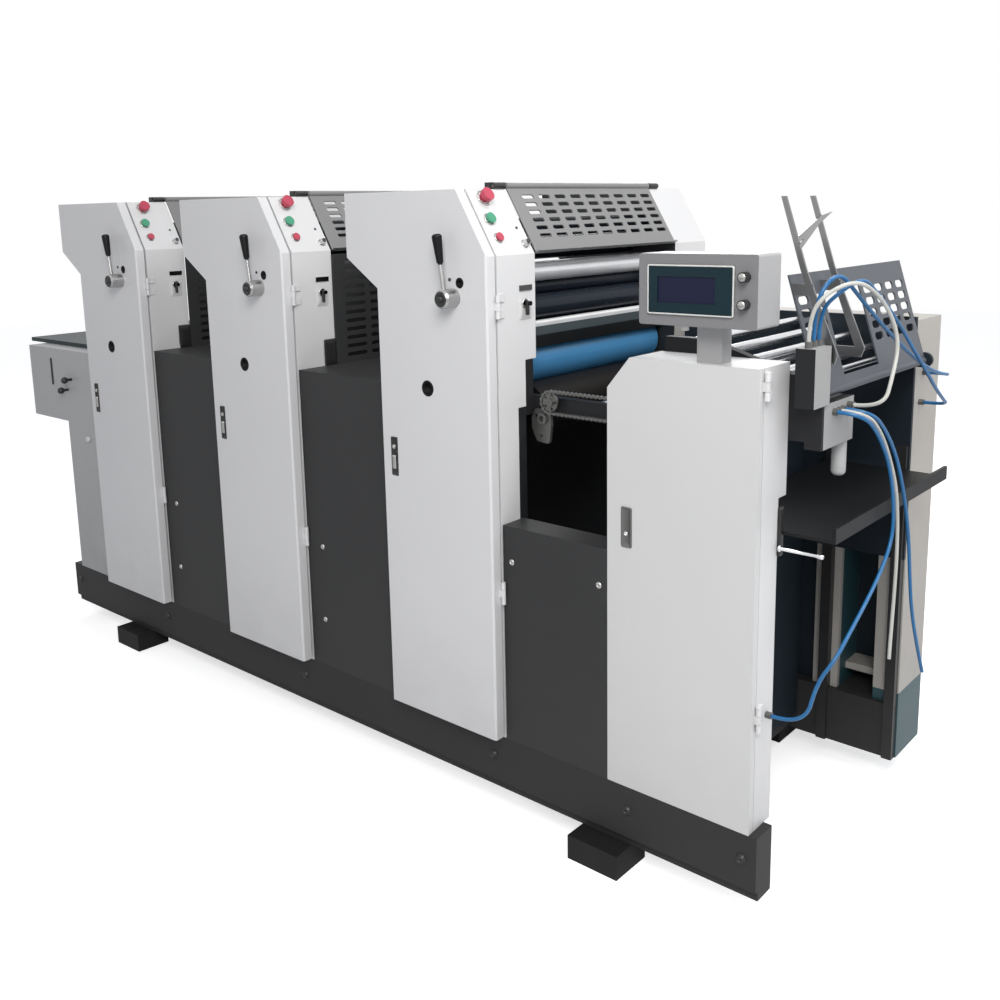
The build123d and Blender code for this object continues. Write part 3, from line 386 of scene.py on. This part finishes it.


# The base enamel's zone below the beam's bottom edge is painted shade: near-black where shade falls under the
# beam.
base_enamel = enamel("base_enamel", (0.031, 0.031, 0.032), 0.52, peel=0.35, drift=0.14, grime=0.45,
                     grime_high=0.2, zones=[zone((0.010, 0.010, 0.011), z=(None, beam_low + 1))], shine=0.2)
dress(base_enamel, "base_frame")
black_nylon = nylon("black_nylon", (0.016, 0.016, 0.017), 0.42)
beam_bolt_places = [-180.0, *[left + 481.0 for left in unit_lefts], 2564.0, 2880.0]
turned("beam_bolts", socket_bolt, [((x, beam_front, beam_bolt_z), operator_side) for x in beam_bolt_places],
       black_nylon, "press", around=24)

# Operator-side towers and the drive-side housing: cast frames behind sheet-steel cladding, sprayed pale grey.
# Their faces that look into the press between the units, and a low strip on the last tower's delivery side,
# are coloured near-black, and they are bolted down from the drive side.
tower_width, tower_back, tower_foot_back, drive_inner, drive_back = 527.0, 194.0, 149.0, 893.0, 1075.0
last_edge = unit_lefts[-1] + tower_width
inside_units = (unit_lefts[0] - 73.0, last_edge + 10.0)
dark_faces = (0.013, 0.014, 0.016)


def near(middle, reach):
    """The span that reaches as far to each side of its middle."""
    return (middle - reach, middle + reach)


pale_enamel = enamel("pale_enamel", (0.68, 0.68, 0.685), 0.42, peel=0.22, drift=0.02, grime=0.22,
                     grime_low=0.22, grime_high=0.55, zones=[
                         zone(dark_faces, inside_units, near(tower_back, 10), facing=drive_side),
                         zone(dark_faces, inside_units, near(tower_foot_back, 10), facing=drive_side),
                         zone(dark_faces, near(last_edge, 10), (117, 161), (None, 1140), delivery_end),
                         zone(dark_faces, inside_units, near(drive_inner, 10), facing=operator_side)])
dress(pale_enamel, "operator_towers", "drive_side_housing")
tower_bolt_places = [((left + x, drive_back, z), drive_side)
                     for left in unit_lefts for x in (170, 480) for z in (300, 1120)]
turned("tower_bolts", socket_bolt, tower_bolt_places, black_nylon, "press", around=24)

# Doors: folded sheet in the towers' pale enamel, a little glossier, each hung on two pin hinges.
# Black rings are pressed into the bores of the lever's bush and of the lower port. The rings are darker than
# black nylon and the bores are near-black inside, both painted shade.
# The pull latch is a black pressed plate in its pocket, with a zinc-plated pull and key barrel.
bush_x, bush_z, port_x, port_z, latch_x, latch_z = 435.0, 1474.0, 308.0, 1188.0, 170.0, 982.0
bore_shade = (0.012, 0.012, 0.013)
latch_layers = ((0, 0), (0, 7.4), (1.2, 8.4), (3.0, 8.4), (3.6, 6.2), (12.5, 6.2))
pull_layers = ((0, 0), (0, 3.6), (1.4, 5.0), (6.9, 5.4))
key_barrel = ((6.5, 0), (6.5, 3.0), (5.4, 4.0), (2.0, 4.0), (1.8, 2.4), (tip, 2.4))
bush_ring = ((13.8, 0), (13.8, 13.6), (12.4, 14.6), (9.2, 14.6), (8.4, 13.8), (8.4, 2.0), (tip, 2.0))
port_ring = ((21.8, 0), (21.8, 22.0), (20.6, 23.2), (17.4, 23.2), (16.4, 22.2), (16.4, 3.0), (tip, 3.0))
door_dot = ((4.5, -0.3), (4.5, 1.4), (3.4, 2.4), (tip, 2.6))


def ground_steel(name, colour, roughness, metallic=1.0, streak=60.0, zones=(), shine=0.5):
    """Turned or ground metal: noise squeezed along Y is a bump of fine rings, and slow smears tint it."""
    look, tree, shader = coat(name, {"Metallic": metallic, "Specular IOR Level": shine})
    place = add(tree, "TexCoord")
    squeeze = add(tree, "Mapping", {"Scale": (0.6, 14.0, 0.6)})
    rings = add(tree, "TexNoise", {"Scale": streak, "Detail": 4.0})
    smear = add(tree, "TexNoise", {"Scale": 7.0, "Detail": 7.0})
    tone = add(tree, "Mix", {"A": shade(colour, 0.82), "B": shade(colour, 1.12)}, data_type="RGBA")
    gloss = add(tree, "MapRange", {"To Min": max(0.04, roughness - 0.08), "To Max": roughness + 0.1})
    bump = add(tree, "Bump", {"Strength": 0.12, "Distance": 0.0003})
    wire(tree, (place.outputs["Object"], squeeze.inputs["Vector"]),
         (squeeze.outputs["Vector"], rings.inputs["Vector"]),
         (place.outputs["Object"], smear.inputs["Vector"]), (smear.outputs["Fac"], tone.inputs["Factor"]),
         (zoned(tree, place, tone.outputs["Result"], zones), shader.inputs["Base Color"]),
         (smear.outputs["Fac"], gloss.inputs["Value"]), (gloss.outputs["Result"], shader.inputs["Roughness"]),
         (rings.outputs["Fac"], bump.inputs["Height"]), (bump.outputs["Normal"], shader.inputs["Normal"]))
    return look


def pad(name, half_sides, corner, layers, places, look, body):
    """Pressed plates: a rounded rectangle, drawn in by each layer's inset at its height, from the back on."""
    steps = 6
    quarter = np.linspace(0, np.pi / 2, steps)
    angle = np.concatenate([quarter + k * np.pi / 2 for k in range(4)])
    signs = np.repeat(((1, -1, -1, 1), (1, 1, -1, -1)), steps, axis=1)
    inset, height = np.array(layers, float).T[:, :, None]
    radius = np.maximum(corner - inset, tip)
    flat_x = np.maximum(half_sides[0] - inset - radius, 0.0) * signs[0] + radius * np.cos(angle)
    flat_y = np.maximum(half_sides[1] - inset - radius, 0.0) * signs[1] + radius * np.sin(angle)
    rings = []
    for centre, axis in places:
        across, up, out = basis(axis)
        offset = flat_x[..., None] * across + flat_y[..., None] * up + height[..., None] * out
        rings.append(np.array(at(*centre)) + offset / 1000.0)
    skin(name, np.array(rings), min(half_sides) - layers[-1][0] > 4 * tip, look, body)


zinc = ground_steel("zinc", (0.50, 0.50, 0.48), 0.3)
# The bore rings are nearly black and matte, darker than the black nylon, as painted shade in the bores.
bore_shade_black = nylon("bore_shade_black", (0.004, 0.004, 0.004), 0.6, shine=0.2)
for number, left in enumerate(unit_lefts, start=1):
    body = f"door_{number}"
    # The door's two zones paint the inside of the bush and port bores near-black, a painted shade.
    door_enamel = enamel(f"door_enamel_{number}", (0.68, 0.68, 0.69), 0.36, peel=0.2, drift=0.02, grime=0.18,
                         grime_low=0.22, grime_high=0.6, zones=[
                             zone(bore_shade, near(left + bush_x, 16), (0.5, 21), near(bush_z, 16)),
                             zone(bore_shade, near(left + port_x, 23), (0.5, 31), near(port_z, 23))])
    dress(door_enamel, f"tower_door_{number}")
    pad(f"latch_plate_{number}", (12.6, 55), 4, latch_layers, [((left + latch_x, 6, latch_z), operator_side)],
        black_nylon, body)
    pad(f"latch_pull_{number}", (7, 20), 3, pull_layers, [((left + latch_x, 0, latch_z - 16), operator_side)],
        zinc, body)
    turned(f"latch_key_{number}", key_barrel, [((left + latch_x, 0, latch_z + 28), operator_side)],
           zinc, body)
    turned(f"bush_ring_{number}", bush_ring, [((left + bush_x, 14, bush_z), operator_side)], bore_shade_black, body)
    turned(f"port_ring_{number}", port_ring, [((left + port_x, 22, port_z), operator_side)], bore_shade_black, body)
    turned(f"door_dots_{number}", door_dot, [((left + 401, 0, 1482), operator_side)], black_nylon, body)

# Impression levers: ground steel hubs and rods on the doors' faces, with moulded black grips.
# A black cap is pressed into the face of each hub.
lever_x, lever_z, hub_length, grip_low = 412.0, 1435.0, 48.0, 1522.0
hub_cap = ((20, sunk), (20, 1.4), (17.5, 3.2), (11, 3.2), (9.6, 1.2), (7.6, 1.2), (7.2, 6.0), (5.6, 7.4),
           (tip, 7.4))
lever_steel = ground_steel("lever_steel", (0.42, 0.42, 0.42), 0.26, metallic=0.8,
                           zones=[zone((0.014, 0.014, 0.015), z=(grip_low, None))])
for number, left in enumerate(unit_lefts, start=1):
    dress(lever_steel, f"impression_lever_{number}")
    turned(f"hub_cap_{number}", hub_cap, [((left + lever_x, -hub_length, lever_z), operator_side)],
           black_nylon, f"lever_{number}")

# Controls on each tower's slope: a red stop button, green and red push buttons and a plated selector knob.
# Plated collars clamp them to the sheet. The selector has a black pointer cap, with a black screw above it.
tower_top, slope_start, slope_run, slope_drop = 1710.0, 427.0, 100.0, 168.0
selector_along, selector_y, selector_length = 166.0, 172.0, 15.0
slope_length = math.hypot(slope_run, slope_drop)
slope_out = (slope_drop / slope_length, 0.0, slope_run / slope_length)
collar_rows = (("stop", 22, 27, 92), ("start", 17.5, 90, 77), ("inch", 14.5, 145, 79),
               ("selector", 12, selector_along, selector_y))
slope_dot = ((4, -0.3), (4, 1.6), (2.8, 2.4), (tip, 2.4))
selector_tip = ((6.6, 0), (6.6, 1.2), (5.4, 2.2), (2.2, 2.2), (1.8, 1.2), (tip, 1.2))


def on_slope(left, along, y, rise=0.0):
    """A point some way down a tower's slope from its top edge, and some way out from the sheet."""
    return (left + slope_start + (along * slope_run + rise * slope_drop) / slope_length, y,
            tower_top - (along * slope_drop - rise * slope_run) / slope_length)


button_red = nylon("button_red", (0.46, 0.045, 0.085), 0.32, zones=[zone((0.05, 0.30, 0.17), z=(1605, 1655))])
dress(button_red, "push_buttons")
for part, radius, along, y in collar_rows:
    collar = ((radius, sunk), (radius, 1.6), (radius - 1.2, 2.8), (radius * 0.85, 2.8), (radius * 0.85, 0.4))
    turned(part + "_collars", collar, [(on_slope(left, along, y), slope_out) for left in unit_lefts],
           zinc, "press")
turned("slope_dots", slope_dot, [(on_slope(left, 118, 168), slope_out) for left in unit_lefts],
       black_nylon, "press", around=20)
selector_ends = [on_slope(left, selector_along, selector_y, selector_length) for left in unit_lefts]
turned("selector_tips", selector_tip, [(end, slope_out) for end in selector_ends],
       black_nylon, "press", around=20)

# Key switches on the delivery side of each tower: a plated barrel with a black key through the toggle.
# Each is screwed on over a blank pale label, below the dark name plate that is left without text.
label_layers = ((0, -0.2), (0, 0.7), (0.5, 1.0), (23.9, 1.0))
barrel = ((13, 0.4), (13, 3.6), (11.6, 5.0), (8.6, 5.0), (8.6, 3.4), (6.4, 3.4))
bow_layers = ((0, 8), (0, 16), (0.8, 17.4), (3.35, 17.4))
switch_metal = ground_steel("switch_metal", (0.62, 0.62, 0.63), 0.24, zones=[
    zone((0.13, 0.13, 0.13), z=(1440, 1470)), zone((0.02, 0.02, 0.02), z=(1400, 1430))])
dress(switch_metal, "selector_switches")
label_paper = nylon("label_paper", (0.62, 0.62, 0.61), 0.5)
pad("key_labels", (24, 26), 3, label_layers,
    [((left + tower_width, 151, 1398), delivery_end) for left in unit_lefts],
    label_paper, "press")
turned("key_barrels", barrel, [((left + tower_width, 149, 1415), delivery_end) for left in unit_lefts],
       zinc, "press", around=24)
pad("key_bows", (3.4, 19), 3.2, bow_layers,
    [((left + tower_width, 146, 1403), delivery_end) for left in unit_lefts], black_nylon, "press")

# Dark covers between the units: folded sheet in hammered charcoal enamel, screwed to the base beam.
# The upright slotted guards of the first two units have the same finish. Black sheets behind them and over
# the slit
# beside them are painted shade: they stand in for the dark inside of the towers, so no light comes through.
cover_front, shade_sheet_x, unit_middle = 40.0, tower_width + 4.0, 543.5
screw_head = ((9, sunk), (9, 1.2), (7.6, 2.8), (5.2, 3.9), (3.4, 4.2), (3.4, 2.2), (tip, 2.2))
screw_places = [(left + 603, 628) for left in unit_lefts[:2]] + [(left + 598, 386) for left in unit_lefts[:2]]
screw_places += [(2200, 741), (2480, 741)]
cover_enamel = enamel("cover_enamel", (0.032, 0.0325, 0.0335), 0.48, peel=0.5, drift=0.12, grime=0.3,
                      grime_low=0.24, grime_high=0.7, shine=0.25)
dress(cover_enamel, "lower_covers", "upright_guards")
turned("cover_screws", screw_head, [((x, cover_front, z), operator_side) for x, z in screw_places],
       zinc, "press")
# Painted shade: black sheets behind the slotted guards and over the slits stand in for the dark inside of the
# towers.
pad("guard_shade_sheets", (348, 168), 3, ((0, 0), (0, 1.6), (0.5, 2.0), (167.9, 2.0)),
    [((left + shade_sheet_x, unit_middle, 1354), feed_end) for left in unit_lefts[:2]], black_nylon, "press")
pad("slit_shade_sheets", (25, 41), 2, ((0, 0), (0, 1.6), (0.5, 2.0), (24.9, 2.0)),
    [((left + shade_sheet_x, 172, 1224), delivery_end) for left in unit_lefts[:2]], black_nylon, "press")

# Sloping guards of the units: punched sheet in mid-grey enamel, to be tipped up over the cylinders.
# They hang on pins in moulded black brackets on the tower tops.
guard_enamel = enamel("guard_enamel", (0.215, 0.215, 0.215), 0.38, peel=0.3, drift=0.08)
dress(guard_enamel, "slotted_guard_1", "slotted_guard_2", "slotted_guard_3")
dress(black_nylon, "guard_brackets")

# Cylinders and rollers of the units: oiled cast iron, a blue rubber blanket, black nitrile rubber and chrome.
# All are ground along their length and run on journals in the towers. A dark finger guard is on the tie bar;
# its lower part is painted near-black as shade.
oiled_iron = ground_steel("oiled_iron", (0.009, 0.008, 0.0075), 0.46, metallic=0.0, shine=0.12)
dress(oiled_iron, "impression_cylinder", "plate_cylinder")
blanket_rubber = ground_steel("blanket_rubber", (0.055, 0.22, 0.43), 0.36, metallic=0.0)
dress(blanket_rubber, "blanket_cylinder")
nitrile = ground_steel("nitrile", (0.014, 0.018, 0.026), 0.26, metallic=0.0, shine=0.12)
dress(nitrile, "form_roller", "rider_roller", "ink_rollers")
satin_chrome = ground_steel("satin_chrome", (0.86, 0.87, 0.89), 0.32, metallic=0.5)
dress(satin_chrome, "chrome_roller")
# Below 1316 mm the tie bar's finger guard is near-black: painted shade.
tie_chrome = ground_steel("tie_chrome", (0.90, 0.91, 0.92), 0.34, metallic=0.5, zones=[
    zone((0.09, 0.115, 0.125), z=(None, 1340.5)), zone((0.010, 0.012, 0.014), z=(None, 1316))])
dress(tie_chrome, "tie_bar")

# Gripper drive of the open unit: a machined bracket, two sprockets and their chain in oiled mild steel.
# They stand on the chain rail in front of the cylinders.
bracket_iron = ground_steel("bracket_iron", (0.17, 0.17, 0.165), 0.34, metallic=0.8, streak=40.0)
dress(bracket_iron, "gripper_drive", "gripper_chain")

# Feed end: grey sheet boxes on columns with a varnished board between them.
# Two black ball knobs, a slotted black plate, a white knob and a red button are screwed to the sheet.
feed_front, feed_left = 40.0, -440.0
ball_knob = ((5, sunk), (5, 16), (9, 19), (12.5, 25), (13.5, 31), (12, 37), (8, 41.5), (tip, 43))
flat_knob = ((12, sunk), (12, 8), (10, 11), (tip, 12))
end_button = ((11, sunk), (11, 7), (8.5, 10), (tip, 11))
slot_layers = ((0, -0.3), (0, 1.4), (1.0, 2.2), (2.6, 2.2), (3.0, 1.0), (6.9, 1.0))
feed_enamel = enamel("feed_enamel", (0.44, 0.445, 0.45), 0.42, peel=0.22, drift=0.03, grime=0.3,
                     grime_low=0.22, grime_high=0.9)
dress(feed_enamel, "feed_boxes")
board_varnish = enamel("board_varnish", (0.028, 0.043, 0.047), 0.45, peel=0.3, drift=0.12, shine=0.2)
dress(board_varnish, "feed_board")
white_nylon = nylon("white_nylon", (0.62, 0.62, 0.60), 0.35)
turned("feed_knobs", ball_knob, [((x, feed_front, z), operator_side) for x, z in ((-100, 1023), (-137, 978))],
       black_nylon, "press")
turned("column_knob", flat_knob, [((0, feed_front, 791), operator_side)], white_nylon, "press")
turned("feed_button", end_button, [((feed_left, 102, 1128), feed_end)], button_red, "press")
pad("feed_slot", (7, 56), 6.5, slot_layers, [((-258, feed_front, 1043), operator_side)], black_nylon, "press")

# Control cabinet: a sheet-steel box in pale enamel, with a latch plate and key barrel on its hinged door.
# On the delivery side are a black step plate and a pull handle, a chromed rod with a turned head.
cabinet_front, cabinet_right, cabinet_latch_x = 40.0, 2897.0, 2561.0
cabinet_layers = ((0, -0.3), (0, 1.8), (1.2, 3.0), (3.2, 3.0), (3.8, 1.6), (14.9, 1.6))
cabinet_barrel = ((5.5, 1.2), (5.5, 4.0), (4.4, 5.0), (1.8, 5.0), (1.6, 3.4), (tip, 3.4))
step_layers = ((0, -0.3), (0, 6.0), (1.2, 7.2), (8.9, 7.2))
handle_rod = ((8, 0), (8, 4), (4, 5), (4, 86), (5.6, 94), (6.0, 100), (4.6, 104), (tip, 104))
dress(pale_enamel, "control_cabinet")
cabinet_enamel = enamel("cabinet_enamel", (0.62, 0.62, 0.622), 0.38, peel=0.2, drift=0.02, grime=0.12,
                        grime_low=0.22, grime_high=0.5)
dress(cabinet_enamel, "cabinet_door")
hard_chrome = ground_steel("hard_chrome", (0.82, 0.83, 0.85), 0.2)
pad("cabinet_latch", (15, 50), 4, cabinet_layers, [((cabinet_latch_x, cabinet_front, 905), operator_side)],
    bracket_iron, "cabinet_door")
turned("cabinet_key", cabinet_barrel, [((cabinet_latch_x, cabinet_front, 890), operator_side)],
       hard_chrome, "cabinet_door")
pad("step_plate", (9, 57), 3, step_layers, [((cabinet_right, 150, 932), delivery_end)], black_nylon, "press")
turned("cabinet_handle", handle_rod, [((cabinet_right + 7, 138, 896), delivery_end)],
       hard_chrome, "press", around=20)

# Console: a cast aluminium box in grey enamel on a short post, with a display and two knobs on its front,
# which is painted darker as shade.
# A pale moulded bezel is clipped around the screen, and the knobs have plated caps.
# A white cap nut stands beside the post.
screen_x, screen_z, knob_x, knob_heights, knob_length = 2750.0, 1478.5, 2881.0, (1453.0, 1510.0), 20.0
bezel_layers = ((0, -0.2), (0, 5.4), (1.0, 6.2), (2.6, 6.2), (3.4, 5.2))
cap_nut = ((9, 0), (9, 10), (7.5, 13), (6, 14), (tip, 14))
knob_cap = ((8.8, -0.3), (8.8, 1.0), (7.6, 2.2), (tip, 2.4))
# The zone on the console's front face is painted shade: that face is darker than the lit sides.
console_enamel = enamel("console_enamel", (0.37, 0.37, 0.375), 0.4, peel=0.3, drift=0.04, zones=[
    zone((0.20, 0.20, 0.207), (2577, 2977), (None, 41), (1350, 1600), facing=operator_side)])
dress(console_enamel, "console_box")
screen_plastic = nylon("screen_plastic", (0.007, 0.022, 0.030), 0.3, shine=0.2, zones=[
    zone((0.010, 0.012, 0.036), y=(-2.6, 41), z=(1440, 1530), facing=operator_side)])
dress(screen_plastic, "console_screen")
dress(black_nylon, "console_knob_1", "console_knob_2")
pad("screen_bezel", (105.5, 54), 5, bezel_layers, [((screen_x, 0, screen_z), operator_side)],
    white_nylon, "press")
turned("console_foot", cap_nut, [((2714, 40, 1386), (0, 0, 1))], white_nylon, "press")
for number, height in enumerate(knob_heights, start=1):
    turned(f"knob_cap_{number}", knob_cap, [((knob_x, -knob_length, height), operator_side)],
           zinc, f"console_knob_{number}", around=24)

# Delivery frames: posts and shelf in warm grey enamel on teal castings, whose teal is darkened as painted
# shade at depth, and dark sheet panels behind them.
# The operator-side plate is in dark paint. On the end block that carries the hose glands, the faces turned to
# the delivery end and up are painted pale grey as lit faces.
block_x, block_lit_grey = (2927, 3027), (0.34, 0.34, 0.34)
stone_enamel = enamel("stone_enamel", (0.42, 0.40, 0.37), 0.45, peel=0.3, drift=0.04, grime=0.3,
                      grime_low=0.2, grime_high=0.9)
dress(stone_enamel, "delivery_drive_frame", "delivery_shelf")
# The teal is the castings' own colour, darkened further as painted shade deep in the frame.
shaded_teal_enamel = enamel("shaded_teal_enamel", (0.022, 0.068, 0.082), 0.45, peel=0.3, drift=0.1, grime=0.3,
                     grime_high=0.3)
dress(shaded_teal_enamel, "delivery_post_feet")
inner_paint = enamel("inner_paint", (0.010, 0.016, 0.023), 0.5, peel=0.4, drift=0.3, shine=0.25)
dress(inner_paint, "delivery_inner_panel", "delivery_back_panels")
# Painted light: only the end block's faces turned to the delivery end and up are pale grey, lit faces.
frame_enamel = enamel("frame_enamel", (0.014, 0.0145, 0.016), 0.45, peel=0.3, drift=0.1, shine=0.25, zones=[
    zone(block_lit_grey, block_x, z=(1221.5, 1400), facing=delivery_end),
    zone(block_lit_grey, block_x, (191, 441), (1100, 1223), facing=delivery_end),
    zone(block_lit_grey, block_x, (41, 241), (1300, 1400), facing=(0, 0, 1))])
dress(frame_enamel, "delivery_operator_frame")

# Raised guard of the delivery: punched sheet in slate enamel on its own hinge line, with bright guide bars.
# It closes over chromed shafts and a rubber exit roller, which run in the side frames.
raised_enamel = enamel("raised_enamel", (0.060, 0.068, 0.082), 0.42, peel=0.3, drift=0.12)
dress(raised_enamel, "delivery_guard")
bright_steel = ground_steel("bright_steel", (0.30, 0.30, 0.30), 0.34)
dress(bright_steel, "guide_bars")
dress(hard_chrome, "delivery_shafts")
dress(nitrile, "exit_roller")

# Pile table: a steel tray in worn black paint, which slides on two black rails.
# The air regulator's bowl above it is clear moulded plastic, and the hoses' glands are mild steel.
table_paint = enamel("table_paint", (0.006, 0.0065, 0.007), 0.42, peel=0.4, drift=0.3, shine=0.25)
dress(table_paint, "pile_table")
dress(black_nylon, "table_rails")
bowl_plastic = nylon("bowl_plastic", (0.42, 0.43, 0.43), 0.25)
dress(bowl_plastic, "air_regulator")
dress(bracket_iron, "hose_glands")
